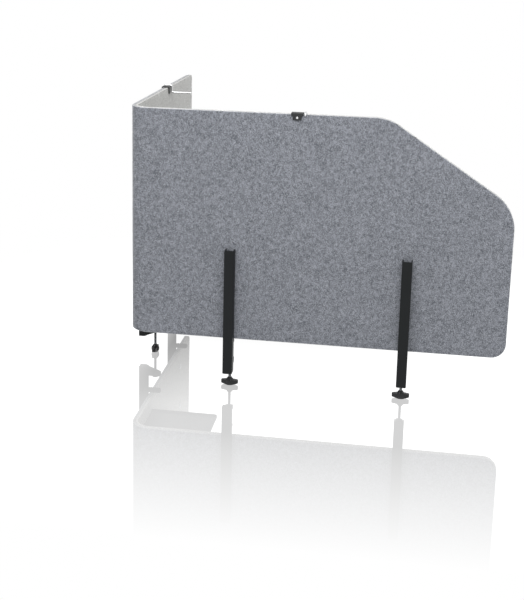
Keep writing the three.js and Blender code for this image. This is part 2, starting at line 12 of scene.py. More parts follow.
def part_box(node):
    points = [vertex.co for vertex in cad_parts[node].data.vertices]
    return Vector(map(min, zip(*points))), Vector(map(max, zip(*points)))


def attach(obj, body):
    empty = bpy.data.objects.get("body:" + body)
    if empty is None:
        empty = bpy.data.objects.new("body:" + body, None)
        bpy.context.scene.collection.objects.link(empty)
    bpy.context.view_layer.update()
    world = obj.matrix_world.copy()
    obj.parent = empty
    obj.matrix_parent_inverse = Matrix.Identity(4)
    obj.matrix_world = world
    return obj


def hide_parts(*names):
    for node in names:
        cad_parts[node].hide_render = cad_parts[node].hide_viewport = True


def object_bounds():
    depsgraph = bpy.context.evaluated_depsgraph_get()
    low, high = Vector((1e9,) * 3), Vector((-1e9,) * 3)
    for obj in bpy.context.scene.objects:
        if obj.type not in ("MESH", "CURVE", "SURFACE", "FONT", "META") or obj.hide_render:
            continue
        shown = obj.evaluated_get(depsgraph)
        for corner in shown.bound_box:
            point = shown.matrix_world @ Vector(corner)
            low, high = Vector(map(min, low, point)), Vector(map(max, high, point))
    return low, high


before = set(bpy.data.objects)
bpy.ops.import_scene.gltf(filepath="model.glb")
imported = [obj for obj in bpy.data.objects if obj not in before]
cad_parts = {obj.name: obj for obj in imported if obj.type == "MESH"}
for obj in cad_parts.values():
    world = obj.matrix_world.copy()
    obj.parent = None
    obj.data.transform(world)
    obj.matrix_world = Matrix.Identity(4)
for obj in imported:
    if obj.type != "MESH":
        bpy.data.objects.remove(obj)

cad_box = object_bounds()

# Camera
# The photographer stands to the right of the corner, above the felt's top edge, with a long lens.
# The picture was cropped above and to the left, which the shift gives back.
camera_data = bpy.data.cameras.new("camera")
camera_data.sensor_fit = "AUTO"
camera_data.sensor_width = 36
camera_data.lens = 66.42
camera_data.shift_x = 0.0283
camera_data.shift_y = -0.1917
camera = bpy.data.objects.new("camera", camera_data)
camera_place = (0.20525, -2.50195, 0.9418)
camera_heading = 8.868
camera_fall = 12.407
camera_roll = 1.162
camera.matrix_world = (
    Matrix.Translation(camera_place)
    @ Matrix.Rotation(math.radians(camera_heading), 4, "Z")
    @ Matrix.Rotation(math.radians(90 - camera_fall), 4, "X")
    @ Matrix.Rotation(math.radians(camera_roll), 4, "Z")
)
bpy.context.collection.objects.link(camera)
bpy.context.scene.camera = camera
bpy.context.scene.view_settings.view_transform = "Standard"


def colour(code):
    """A #RRGGBB colour in sRGB as Blender's linear colour."""
    shares = [int(code[i : i + 2], 16) / 255 for i in (1, 3, 5)]
    return [s / 12.92 if s <= 0.04045 else ((s + 0.055) / 1.055) ** 2.4 for s in shares] + [1]


def add(tree, kind, settings=None, values=None, links=None):
    """Adds a node, with its settings, the values of its sockets and what feeds them."""
    made = tree.nodes.new(kind)
    for key, value in (settings or {}).items():
        setattr(made, key, value)
    for key, value in (values or {}).items():
        made.inputs[key].default_value = value
    for key, source in (links or {}).items():
        tree.links.new(source, made.inputs[key])
    return made


# Studio
# A white room, and a white floor whose gloss shows the screen upside down and fades out in front of
# it, as in the picture. Between the wings the floor is painted darker, as their shade makes it. The
# room is brighter than white in mirrors alone, so that the mirrored room stays white.
room_share = 0.6
mirror_gain = 0.9
floor_reach = 6.0
floor_gloss = 0.35
fade_start = 0.2
fade_end = 0.61
shade_most = 0.5
shade_ahead = 0.10
shade_full = 0.30
shade_side_start = 0.015
shade_side_full = 0.065
shade_edge_start = 0.03
shade_edge_end = 0.15
bounce_reach = 0.5
bounce_near = 0.06
bounce_far = 0.6
soft_box_aim = (0, 0, 0.3)
world = bpy.data.worlds.new("white studio")
bpy.context.scene.world = world
world.use_nodes = True
room = world.node_tree
room.nodes.clear()
ray = add(room, "ShaderNodeLightPath")
soft_share = add(room, "ShaderNodeMapRange", None, {"To Min": 1.0, "To Max": room_share},
                 {"Value": ray.outputs["Is Diffuse Ray"]})
mirror_share = add(room, "ShaderNodeMath", {"operation": "MULTIPLY_ADD"}, {1: mirror_gain},
                   {0: ray.outputs["Is Singular Ray"], 2: soft_share.outputs[0]})
sky = add(room, "ShaderNodeBackground", None, {"Color": (1, 1, 1, 1)},
          {"Strength": mirror_share.outputs[0]})
add(room, "ShaderNodeOutputWorld", None, None, {"Surface": sky.outputs[0]})

box_low, box_high = cad_box
bm = bmesh.new()
bmesh.ops.create_grid(bm, x_segments=1, y_segments=1, size=floor_reach)
floor_mesh = bpy.data.meshes.new("studio_floor")
bm.to_mesh(floor_mesh)
bm.free()
floor = bpy.data.objects.new("studio_floor", floor_mesh)
bpy.context.collection.objects.link(floor)

sweep = bpy.data.materials.new("glossy white sweep")
sweep.use_nodes = True
tree = sweep.node_tree
tree.nodes.clear()
spot = add(tree, "ShaderNodeTexCoord")
box_middle = ((box_low.x + box_high.x) / 2, (box_low.y + box_high.y) / 2, 0)
box_half = ((box_high.x - box_low.x) / 2, (box_high.y - box_low.y) / 2, 1)
from_middle = add(tree, "ShaderNodeVectorMath", {"operation": "SUBTRACT"},
                  {1: box_middle}, {0: spot.outputs["Object"]})
either_side = add(tree, "ShaderNodeVectorMath", {"operation": "ABSOLUTE"}, None,
                  {0: from_middle.outputs[0]})
past_edge = add(tree, "ShaderNodeVectorMath", {"operation": "SUBTRACT"}, {1: box_half},
                {0: either_side.outputs[0]})
outside = add(tree, "ShaderNodeVectorMath", {"operation": "MAXIMUM"}, {1: (0, 0, 0)},
              {0: past_edge.outputs[0]})
distance = add(tree, "ShaderNodeVectorMath", {"operation": "LENGTH"}, None,
               {0: outside.outputs[0]})
gloss = add(tree, "ShaderNodeMapRange", None,
            {"From Min": fade_start, "From Max": fade_end, "To Min": floor_gloss, "To Max": 0.0},
            {"Value": distance.outputs["Value"]})
on_floor = add(tree, "ShaderNodeSeparateXYZ", None, None, {0: spot.outputs["Object"]})
shade = None
for socket, start, end, to_min, to_max, course in (
    (on_floor.outputs["Y"], box_low.y - shade_ahead, box_low.y + shade_full, 0, shade_most,
     "LINEAR"),
    (on_floor.outputs["X"], box_low.x + shade_side_start, box_low.x + shade_side_full, 0, 1,
     "LINEAR"),
    (on_floor.outputs["X"], 0, box_high.x, 1, 0, "SMOOTHSTEP"),
    (distance.outputs["Value"], shade_edge_start, shade_edge_end, 1, 0, "SMOOTHSTEP"),
):
    share = add(tree, "ShaderNodeMapRange", {"interpolation_type": course},
                {"From Min": start, "From Max": end, "To Min": to_min, "To Max": to_max},
                {"Value": socket}).outputs[0]
    if shade is None:
        shade = share
    else:
        shade = add(tree, "ShaderNodeMath", {"operation": "MULTIPLY"}, None,
                    {0: shade, 1: share}).outputs[0]
unshaded = add(tree, "ShaderNodeMath", {"operation": "SUBTRACT"}, {0: 1.0}, {1: shade})
ray = add(tree, "ShaderNodeLightPath")
# Close to the screen, the floor glow that lights it is turned down: painted shade for the screen's
# shade on the floor.
bounce = add(tree, "ShaderNodeMapRange", None,
             {"From Max": bounce_reach, "To Min": bounce_near, "To Max": bounce_far},
             {"Value": distance.outputs["Value"]})
lit = add(tree, "ShaderNodeMapRange", None, None,
          {"Value": ray.outputs["Is Diffuse Ray"], "To Min": unshaded.outputs[0],
           "To Max": bounce.outputs[0]})
white = add(tree, "ShaderNodeEmission", None, {"Color": (1, 1, 1, 1)},
            {"Strength": lit.outputs[0]})
mirror = add(tree, "ShaderNodeBsdfGlossy", None, {"Color": (1, 1, 1, 1), "Roughness": 0.0})
mixed = add(tree, "ShaderNodeMixShader", None, None,
            {0: gloss.outputs[0], 1: white.outputs[0], 2: mirror.outputs[0]})
add(tree, "ShaderNodeOutputMaterial", None, None, {"Surface": mixed.outputs[0]})
floor_mesh.materials.append(sweep)

# A large soft box above and in front gives the felt its slight fall from top to foot
box_data = bpy.data.lights.new("soft_box", "AREA")
box_data.shape = "RECTANGLE"
box_data.size = 2.4
box_data.size_y = 1.4
box_data.energy = 60
soft_box = bpy.data.objects.new("soft_box", box_data)
soft_box.location = (0.0, -1.9, 2.5)
aim = Vector(soft_box_aim) - soft_box.location
soft_box.rotation_euler = aim.to_track_quat("-Z", "Y").to_euler()
bpy.context.collection.objects.link(soft_box)


# Felt panel
# Two skins of needled polyester felt, mid grey outside and pale grey inside, bonded together. The
# blank is cut flat with a knife, then moulded round the corner, so its edges show cut fibres. They
# are drawn paler than the faces: partly the cut fibres' own tone, partly painted highlight for the
# light that falls on the top edge from above.
def linked(name, bm, materials, body, slot, *nodes, soften=0, steps=2):
    """A finished piece: its mesh, finishes, the body it rides on, and the CAD nodes it replaces."""
    bmesh.ops.recalc_face_normals(bm, faces=bm.faces)
    for face in bm.faces:
        face.smooth = True
    mesh = bpy.data.meshes.new(name)
    bm.to_mesh(mesh)
    bm.free()
    for made in materials:
        mesh.materials.append(made)
    piece = bpy.data.objects.new(name, mesh)
    bpy.context.collection.objects.link(piece)
    if soften:
        edge = piece.modifiers.new("soft edges", "BEVEL")
        edge.width = soften
        edge.segments = steps
        edge.limit_method = "ANGLE"
        edge.angle_limit = math.radians(32)
        edge.harden_normals = True
    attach(piece, body)
    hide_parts(*nodes)
    return piece


def blank(corners, steps=6):
    """A flat face in X and Y cut to an outline, each of its corners (x, y, radius) rounded."""
    bm = bmesh.new()
    verts = [bm.verts.new((x, y, 0)) for x, y, _ in corners]
    bm.faces.new(verts)
    for i, vert in enumerate(verts):
        radius = corners[i][2]
        if radius:
            arriving = Vector(corners[i][:2]) - Vector(corners[i - 1][:2])
            leaving = Vector(corners[(i + 1) % len(corners)][:2]) - Vector(corners[i][:2])
            bmesh.ops.bevel(bm, geom=[vert], offset=radius * math.tan(arriving.angle(leaving) / 2),
                            offset_type="ABSOLUTE", segments=steps, profile=0.5, affect="VERTICES",
                            material=-1)
    return bm


def raised(bm, height):
    """Gives a flat face its thickness, upwards."""
    made = bmesh.ops.extrude_face_region(bm, geom=bm.faces[:])["geom"]
    verts = [v for v in made if isinstance(v, bmesh.types.BMVert)]
    bmesh.ops.translate(bm, vec=(0, 0, height), verts=verts)
    return bm


def moved(bm, *matrices):
    """The mesh after each of these moves in turn."""
    for matrix in matrices:
        bmesh.ops.transform(bm, matrix=matrix, verts=bm.verts)
    return bm


def folded(point, runs):
    """Bends a flat blank: X runs along it, Y is the depth below its outer side, and each run is
    (flat length, turn, radius at the outer side). A positive turn folds towards the depth."""
    along, depth, across = point
    place, heading = Vector((0, 0)), 0.0
    for flat, turn, radius in runs:
        ahead = Vector((math.cos(heading), math.sin(heading)))
        inward = Vector((-ahead.y, ahead.x))
        arc = radius * abs(turn)
        if along <= flat or not turn:
            break
        place += ahead * flat
        side = math.copysign(1, turn)
        done = min((along - flat) / arc, 1) * turn
        centre = place + inward * radius * side
        if along - flat <= arc:
            to_point = Matrix.Rotation(done, 2) @ (inward * (depth - radius * side))
            spot = centre + to_point
            return Vector((spot.x, spot.y, across))
        place = centre + Matrix.Rotation(turn, 2) @ (-inward * radius * side)
        heading += turn
        along -= flat + arc
    ahead = Vector((math.cos(heading), math.sin(heading)))
    inward = Vector((-ahead.y, ahead.x))
    spot = place + ahead * along + inward * depth
    return Vector((spot.x, spot.y, across))


felt_low, felt_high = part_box("outer_felt")
foot, top = felt_low.z, felt_high.z
corner = Vector((felt_low.x, felt_low.y, 0))
front_wing = felt_high.x - felt_low.x
side_wing = felt_high.y - felt_low.y
felt_thickness = 0.012
skin_thickness = 0.00585
bend_radius = 0.045
bend_length = bend_radius * math.pi / 2
slope_run = 0.261
slope_drop = 0.173
slope_radius = 0.080
front_foot_radius = 0.030
side_corner_radius = 0.012
blank_length = side_wing + front_wing - 2 * bend_radius + bend_length
wrap = [(side_wing - bend_radius, math.pi / 2, bend_radius), (front_wing - bend_radius, 0, 0)]
edge_softness = 0.0009
outline_steps = 10
side_cuts = 46
bend_cuts = 24
front_cuts = 62
height_cuts = 41
mottle_size = 0.0075
fuzz_size = 0.0011
felt_cloud_size = 0.05
curl_size = 0.012
curl_reach = 0.005
strand_size = 0.0013
strand_stretch = 11
nap_height = 0.0005


def felt_skin(name, outer, thickness, materials):
    """A skin cut flat, given its thickness, softened along its cut edges and moulded round."""
    far = blank_length
    bm = blank([
        (0, foot, side_corner_radius), (far, foot, front_foot_radius),
        (far, top - slope_drop, slope_radius), (far - slope_run, top, slope_radius),
        (0, top, side_corner_radius),
    ], outline_steps)
    moved(bm, Matrix.Rotation(math.pi / 2, 4, "X"), Matrix.Translation((0, outer, 0)))
    flat = side_wing - bend_radius
    run = far - flat - bend_length
    cuts = [flat * i / side_cuts for i in range(1, side_cuts + 1)]
    cuts += [flat + bend_length * i / bend_cuts for i in range(1, bend_cuts + 1)]
    cuts += [flat + bend_length + run * i / front_cuts for i in range(1, front_cuts)]
    for x in cuts:
        bmesh.ops.bisect_plane(bm, geom=bm.verts[:] + bm.edges[:] + bm.faces[:], dist=1e-6,
                               plane_co=(x, 0, 0), plane_no=(1, 0, 0))
    for i in range(1, height_cuts):
        z = foot + (top - foot) * i / height_cuts
        bmesh.ops.bisect_plane(bm, geom=bm.verts[:] + bm.edges[:] + bm.faces[:], dist=1e-6,
                               plane_co=(0, 0, z), plane_no=(0, 0, 1))
    made = bmesh.ops.extrude_face_region(bm, geom=bm.faces[:])["geom"]
    deep = [v for v in made if isinstance(v, bmesh.types.BMVert)]
    bmesh.ops.translate(bm, vec=(0, thickness, 0), verts=deep)
    bm.normal_update()
    # The edge faces get the second finish: paler felt, partly painted highlight for light from
    # above.
    for face in bm.faces:
        face.material_index = int(abs(face.normal.y) < 0.5)
    shown = outer if outer == 0 else outer + thickness
    rim = [
        e for e in bm.edges
        if len({f.material_index for f in e.link_faces}) == 2
        and all(abs(v.co.y - shown) < 1e-5 for v in e.verts)
    ]
    bmesh.ops.bevel(bm, geom=rim, offset=edge_softness, offset_type="OFFSET", segments=3,
                    profile=0.5, affect="EDGES", material=1)
    for v in bm.verts:
        x, y, z = folded(v.co, wrap)
        v.co = corner + Vector((y, side_wing - x, z))
    node = name.replace("skin", "felt")
    return linked(name, bm, materials, "screen", node, node)


def felt(name, dark, light, streak, shade):
    """Needled polyester felt. Short fibres of several greys lie in every direction and are punched
    into one another: a mottle of 5 to 10 mm, stray pale and dark fibres, no gloss, and a nap that
    is bright at a glance. A fibre is 0.02 mm thick, so it is drawn as a strand of 0.5 mm."""
    made = bpy.data.materials.new(name)
    made.use_nodes = True
    tree = made.node_tree
    surface = tree.nodes["Principled BSDF"]
    spot = add(tree, "ShaderNodeTexCoord").outputs["Object"]
    mottle = add(tree, "ShaderNodeTexNoise", None,
                 {"Scale": 1 / mottle_size, "Detail": 3.0, "Roughness": 0.55},
                 {"Vector": spot})
    fuzz = add(tree, "ShaderNodeTexNoise", None,
               {"Scale": 1 / fuzz_size, "Detail": 2.0, "Roughness": 0.7}, {"Vector": spot})
    cloud = add(tree, "ShaderNodeTexNoise", None, {"Scale": 1 / felt_cloud_size, "Detail": 2.0},
                {"Vector": spot})
    blend = add(tree, "ShaderNodeMapRange", None, {"From Min": 0.33, "From Max": 0.67},
                {"Value": mottle.outputs["Fac"]})
    share = blend.outputs[0]
    for field, weight in ((fuzz, 0.35), (cloud, 0.3)):
        level = add(tree, "ShaderNodeMath", {"operation": "SUBTRACT"}, {1: 0.5},
                    {0: field.outputs["Fac"]})
        share = add(tree, "ShaderNodeMath", {"operation": "MULTIPLY_ADD"}, {1: weight},
                    {0: level.outputs[0], 2: share}).outputs[0]
    ground = add(tree, "ShaderNodeMix", {"data_type": "RGBA"}, {6: colour(dark), 7: colour(light)},
                 {0: share})
    warp = add(tree, "ShaderNodeTexNoise", None, {"Scale": 1 / curl_size, "Detail": 1.0},
               {"Vector": spot})
    curled = add(tree, "ShaderNodeVectorMath", {"operation": "MULTIPLY_ADD"},
                 {1: (curl_reach,) * 3},
                 {0: warp.outputs["Color"], 2: spot})
    last, nap = ground.outputs[2], fuzz.outputs["Fac"]
    lays = [(0.5, 0.6, streak), (-0.9, 0.4, shade), (0.8, -0.9, streak), (-0.6, -1.1, shade),
            (0.7, 1.3, streak), (-0.3, -0.3, shade)]
    for lean, roll, code in lays:
        laid = add(tree, "ShaderNodeMapping", {"vector_type": "TEXTURE"},
                   {"Rotation": (lean, roll, 0), "Scale": (1, 1, strand_stretch)},
                   {"Vector": curled.outputs[0]})
        field = add(tree, "ShaderNodeTexNoise", None, {"Scale": 1 / strand_size, "Detail": 0.0},
                    {"Vector": laid.outputs[0]})
        strand = add(tree, "ShaderNodeMapRange", None,
                     {"From Min": 0.58, "From Max": 0.7, "To Min": 0.0, "To Max": 0.55},
                     {"Value": field.outputs["Fac"]})
        mixed = add(tree, "ShaderNodeMix", {"data_type": "RGBA"}, {7: colour(code)},
                    {0: strand.outputs[0], 6: last})
        last = mixed.outputs[2]
        nap = add(tree, "ShaderNodeMath", {"operation": "MAXIMUM"}, None,
                  {0: nap, 1: strand.outputs[0]}).outputs[0]
    tree.links.new(last, surface.inputs["Base Color"])
    waves = add(tree, "ShaderNodeMath", {"operation": "MULTIPLY_ADD"}, {1: 3.0},
                {0: cloud.outputs["Fac"], 2: nap})
    bump = add(tree, "ShaderNodeBump", None, {"Strength": 0.5, "Distance": nap_height},
               {"Height": waves.outputs[0]})
    tree.links.new(bump.outputs[0], surface.inputs["Normal"])
    surface.inputs["Roughness"].default_value = 0.95
    surface.inputs["Specular IOR Level"].default_value = 0.15
    surface.inputs["Sheen Weight"].default_value = 1.0
    surface.inputs["Sheen Roughness"].default_value = 0.25
    return made


outer_felt = felt("needled felt mid grey", "#61646A", "#8D9098", "#ACAFB6", "#505359")
inner_felt = felt("needled felt pale grey", "#B2B2AF", "#C8C8C5", "#D6D6D3", "#A2A29F")
# Paler felt for the cut edges: the cut fibres' own tone plus painted highlight for light from
# above.
outer_cut_with_highlight = felt("cut edge of the grey felt with painted highlight", "#B2B4B8", "#CDCFD2", "#E2E3E5", "#96989C")
inner_cut_with_highlight = felt("cut edge of the pale felt with painted highlight", "#D0D0CD", "#E3E3E1", "#EFEFEE", "#B8B8B5")
felt_skin("outer_skin", 0.0, skin_thickness, [outer_felt, outer_cut_with_highlight])
felt_skin("inner_skin", felt_thickness - skin_thickness, skin_thickness, [inner_felt, inner_cut_with_highlight])


# Channel bars
# Each clamp hangs on a bar of 2 mm steel sheet folded to a U, with its open side against the felt.
# Its sides are cut away under the arm. Its satin black powder coat has a fine orange peel.
clamps = {}
for name in ("front_1", "front_2", "side_1", "side_2"):
    low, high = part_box("channel_bar_" + name)
    middle = (low + high) / 2 - corner
    clamps[name] = ("front", middle.x) if name.startswith("front") else ("side", middle.y)


def wing_place(wing, along):
    """The move to a place on a wing, from the outer corner with X along the wing and Y inwards."""
    if wing == "front":
        return Matrix.Translation(corner + Vector((along, 0, 0)))
    turn = Matrix.Rotation(-math.pi / 2, 4, "Z")
    return Matrix.Translation(corner + Vector((0, along, 0))) @ turn


def at_clamp(node):
    """The lowest and highest corner of a clamp's piece, seen from the clamp's place on the felt."""
    here = corner + Vector((clamps["front_1"][1], 0, 0))
    return [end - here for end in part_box(node + "_front_1")]


def on_clamps(name, node, bm, material, body, slot, soften=0, steps=2, tail=""):
    """A copy of the finished piece on each clamp, riding on the screen or on a body of its own."""
    for clamp, place in clamps.items():
        piece = moved(bm.copy(), wing_place(*place))
        rides = body if body == "screen" else body + "_" + clamp
        linked(name + "_" + clamp + tail, piece, [material], rides, slot, node + "_" + clamp + tail,
               soften=soften, steps=steps)
    bm.free()


def shaved(bm, point, away):
    """Saws off what lies beyond a plane, and closes the cut."""
    geometry = bm.verts[:] + bm.edges[:] + bm.faces[:]
    cut = bmesh.ops.bisect_plane(bm, geom=geometry, dist=1e-7, plane_co=point, plane_no=away,
                                 clear_outer=True)["geom_cut"]
    bmesh.ops.edgeloop_fill(bm, edges=[e for e in cut if isinstance(e, bmesh.types.BMEdge)])
    return bm


peel_size = 0.0014
peel_depth = 0.00012
coat_cloud_size = 0.03


def powder_coat(name, code, gloss_level):
    """Baked polyester powder: an even colour, with an orange peel of 1 to 2 mm."""
    made = bpy.data.materials.new(name)
    made.use_nodes = True
    tree = made.node_tree
    surface = tree.nodes["Principled BSDF"]
    spot = add(tree, "ShaderNodeTexCoord").outputs["Object"]
    peel = add(tree, "ShaderNodeTexNoise", None, {"Scale": 1 / peel_size, "Detail": 2.0},
               {"Vector": spot})
    cloud = add(tree, "ShaderNodeTexNoise", None, {"Scale": 1 / coat_cloud_size, "Detail": 3.0},
                {"Vector": spot})
    shades = [[channel * share for channel in colour(code)[:3]] + [1] for share in (0.85, 1.15)]
    ground = add(tree, "ShaderNodeMix", {"data_type": "RGBA"}, {6: shades[0], 7: shades[1]},
                 {0: cloud.outputs["Fac"]})
    tree.links.new(ground.outputs[2], surface.inputs["Base Color"])
    rough = add(tree, "ShaderNodeMapRange", None, {"To Min": 0.38, "To Max": 0.52},
                {"Value": peel.outputs["Fac"]})
    tree.links.new(rough.outputs[0], surface.inputs["Roughness"])
    bump = add(tree, "ShaderNodeBump", None, {"Strength": 0.25, "Distance": peel_depth},
               {"Height": peel.outputs["Fac"]})
    tree.links.new(bump.outputs[0], surface.inputs["Normal"])
    surface.inputs["Specular IOR Level"].default_value = gloss_level
    return made


black_coat = powder_coat("satin black powder coat", "#1E2021", 0.12)
bar_low, bar_high = at_clamp("channel_bar")
bar_wall = 0.002
bar_fold = 0.0025
bar_end_round = 0.002
level_foot = 0.012
arm_slope = 0.3636
bar_half = bar_high.x
bar_inside = bar_half - bar_wall
bar = blank([
    (-bar_half, bar_low.y, bar_fold), (bar_half, bar_low.y, bar_fold),
    (bar_half, bar_high.y, 0), (bar_inside, bar_high.y, 0),
    (bar_inside, bar_low.y + bar_wall, bar_fold - bar_wall),
    (-bar_inside, bar_low.y + bar_wall, bar_fold - bar_wall),
    (-bar_inside, bar_high.y, 0), (-bar_half, bar_high.y, 0),
])
moved(raised(bar, bar_high.z - bar_low.z), Matrix.Translation((0, 0, bar_low.z)))
for side in (-1, 1):
    for end, z in ((-1, bar_low.z), (1, bar_high.z)):
        centre = Vector((side * (bar_half - bar_end_round), 0, z - end * bar_end_round))
        for degrees in (22.5, 45, 67.5):
            angle = math.radians(degrees)
            away = Vector((side * math.cos(angle), 0, end * math.sin(angle)))
            shaved(bar, centre + away * bar_end_round, away)
shaved(bar, (0, bar_low.y + level_foot, bar_low.z), (0, arm_slope, -1))
on_clamps("bar", "channel_bar", bar, black_coat, "screen", "black_coat", soften=0.00025)


# Mounting strips and bushes
# The strip in each bar's mouth and the bush in each arm are turned or punched steel, zinc plated: a
# pale metal with a slight blue cast and fine lines from the tool.
bloom_size = 0.006
line_stretch = 6


def plated(name, code, roughness, line, depth):
    """Plated or bare steel whose lines, a certain distance apart, come from rolling or turning."""
    made = bpy.data.materials.new(name)
    made.use_nodes = True
    tree = made.node_tree
    surface = tree.nodes["Principled BSDF"]
    spot = add(tree, "ShaderNodeTexCoord").outputs["Object"]
    stretched = add(tree, "ShaderNodeMapping", None, {"Scale": (1, 1, line_stretch)},
                    {"Vector": spot})
    lines = add(tree, "ShaderNodeTexNoise", None, {"Scale": 1 / line, "Detail": 3.0},
                {"Vector": stretched.outputs[0]})
    bloom = add(tree, "ShaderNodeTexNoise", None, {"Scale": 1 / bloom_size, "Detail": 4.0},
                {"Vector": spot})
    shades = [[channel * share for channel in colour(code)[:3]] + [1] for share in (0.82, 1.0)]
    ground = add(tree, "ShaderNodeMix", {"data_type": "RGBA"}, {6: shades[0], 7: shades[1]},
                 {0: bloom.outputs["Fac"]})
    tree.links.new(ground.outputs[2], surface.inputs["Base Color"])
    rough = add(tree, "ShaderNodeMapRange", None,
                {"To Min": roughness * 0.75, "To Max": roughness * 1.25},
                {"Value": lines.outputs["Fac"]})
    tree.links.new(rough.outputs[0], surface.inputs["Roughness"])
    bump = add(tree, "ShaderNodeBump", None, {"Strength": 0.3, "Distance": depth},
               {"Height": lines.outputs["Fac"]})
    tree.links.new(bump.outputs[0], surface.inputs["Normal"])
    surface.inputs["Metallic"].default_value = 1.0
    return made


zinc = plated("zinc plated steel", "#C3C8CC", 0.32, 0.0011, 0.00004)
for name in clamps:
    for node in ("mounting_strip_", "thread_bush_"):
        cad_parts[node + name].material_slots[0].material = zinc


# Fixed jaws and their rubbers
# A flat steel jaw stands out of each bar above the desk top, powder coated with it. A moulded
# rubber facing with cross grooves is glued under it, matt and slightly grey.
def softened_copy(node):
    """A merged copy of a CAD node in its place, its flat faces whole again."""
    bm = bmesh.new()
    bm.from_mesh(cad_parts[node].data)
    bmesh.ops.remove_doubles(bm, verts=bm.verts, dist=1e-6)
    bmesh.ops.dissolve_limit(bm, angle_limit=math.radians(1), verts=bm.verts, edges=bm.edges)
    return bm


dust_size = 0.008


def moulded(name, code, grain, depth, roughness, gloss_level):
    """Moulded rubber or plastic: the spark-eroded mould leaves a fine even grain."""
    made = bpy.data.materials.new(name)
    made.use_nodes = True
    tree = made.node_tree
    surface = tree.nodes["Principled BSDF"]
    spot = add(tree, "ShaderNodeTexCoord").outputs["Object"]
    grains = add(tree, "ShaderNodeTexNoise", None, {"Scale": 1 / grain, "Detail": 4.0},
                 {"Vector": spot})
    dust = add(tree, "ShaderNodeTexNoise", None, {"Scale": 1 / dust_size, "Detail": 3.0},
               {"Vector": spot})
    shades = [[channel * share for channel in colour(code)[:3]] + [1] for share in (0.8, 1.25)]
    ground = add(tree, "ShaderNodeMix", {"data_type": "RGBA"}, {6: shades[0], 7: shades[1]},
                 {0: dust.outputs["Fac"]})
    tree.links.new(ground.outputs[2], surface.inputs["Base Color"])
    rough = add(tree, "ShaderNodeMapRange", None,
                {"To Min": roughness - 0.07, "To Max": roughness + 0.07},
                {"Value": dust.outputs["Fac"]})
    tree.links.new(rough.outputs[0], surface.inputs["Roughness"])
    bump = add(tree, "ShaderNodeBump", None, {"Strength": 0.35, "Distance": depth},
               {"Height": grains.outputs["Fac"]})
    tree.links.new(bump.outputs[0], surface.inputs["Normal"])
    surface.inputs["Specular IOR Level"].default_value = gloss_level
    return made


first_clamp = wing_place(*clamps["front_1"]).inverted()
jaw_low, jaw_high = at_clamp("upper_jaw")
arm_half = 0.007
jaw_tip_radius = 0.004
tongue = jaw_high.x
jaw = blank([
    (-tongue, jaw_low.y, 0), (tongue, jaw_low.y, 0), (tongue, 0, 0), (arm_half, 0, 0),
    (arm_half, jaw_high.y, jaw_tip_radius), (-arm_half, jaw_high.y, jaw_tip_radius),
    (-arm_half, 0, 0), (-tongue, 0, 0),
])
moved(raised(jaw, jaw_high.z - jaw_low.z), Matrix.Translation((0, 0, jaw_low.z)))
on_clamps("jaw", "upper_jaw", jaw, black_coat, "screen", "black_coat", soften=0.0006)
rubber = moulded("moulded black rubber", "#1A1A1A", 0.0008, 0.00008, 0.82, 0.3)
facing = moved(softened_copy("jaw_rubber_front_1"), first_clamp)
on_clamps("rubber", "jaw_rubber", facing, rubber, "screen", "rubber", soften=0.00025)


# Lower arms
# A cast iron arm is riveted into each bar's foot. Its underside rises to a slim tip, and its
# powder coat lies over the rough skin that the sand mould leaves.
arm = moved(softened_copy("lower_arm_front_1"), first_clamp)
on_clamps("arm", "lower_arm", arm, black_coat, "screen", "black_coat", soften=0.0005)


# Spindles and pressure pads
# Each spindle is a rolled M6 thread in blackened steel. A turned pad swivels on its tip, with two
# rings cut in its face so that it grips the desk top.
def turned(profile, steps=40):
    """A closed body of revolution about Z from a profile of (radius, height) points."""
    bm = bmesh.new()
    verts = [bm.verts.new((radius, 0, height)) for radius, height in profile]
    edges = [bm.edges.new(pair) for pair in zip(verts, verts[1:])]
    bmesh.ops.spin(bm, geom=verts + edges, cent=(0, 0, 0), axis=(0, 0, 1), dvec=(0, 0, 0),
                   angle=2 * math.pi, steps=steps, use_merge=True)
    bmesh.ops.remove_doubles(bm, verts=bm.verts, dist=1e-6)
    return bm


black_steel = plated("blackened steel", "#77797B", 0.36, 0.0013, 0.00003)
rod_low, rod_high = at_clamp("spindle")
axis_y = (rod_low.y + rod_high.y) / 2
thread_crest = 0.003
thread_root = 0.00245
thread_pitch = 0.001
steps_a_turn = 20
tip_radius = 0.002
tip_length = 0.0017
shoulder = rod_high.z - tip_length
shank_length = 0.0105
shank_chamfer = 0.0006
tip_chamfer = 0.0003
thread_end_gap = 0.001
thread_sunk = 0.0003
crest_start = 0.00042
crest_end = 0.00058
rod_steps = 24
thread_start = rod_low.z + shank_length
turns = round((shoulder - thread_end_gap - thread_start) / thread_pitch)
screw_rod = turned([
    (0, rod_low.z), (thread_crest - shank_chamfer, rod_low.z),
    (thread_crest, rod_low.z + shank_chamfer), (thread_crest, thread_start),
    (thread_root, thread_start + shank_chamfer), (thread_root, shoulder), (tip_radius, shoulder),
    (tip_radius, rod_high.z - tip_chamfer), (tip_radius - tip_chamfer, rod_high.z),
    (0, rod_high.z),
], rod_steps)
ridge = [
    screw_rod.verts.new((radius, 0, thread_start + rise))
    for radius, rise in (
        (thread_root - thread_sunk, 0), (thread_crest, crest_start), (thread_crest, crest_end),
        (thread_root - thread_sunk, thread_pitch),
    )
]
ridge_face = screw_rod.faces.new(ridge)
bmesh.ops.spin(screw_rod, geom=[ridge_face] + ridge_face.edges[:] + ridge, cent=(0, 0, 0),
               axis=(0, 0, 1), dvec=(0, 0, thread_pitch / steps_a_turn),
               angle=2 * math.pi * turns, steps=steps_a_turn * turns)
moved(screw_rod, Matrix.Translation((0, axis_y, 0)))
on_clamps("spindle_rod", "spindle", screw_rod, black_steel, "screw", "dark_steel")

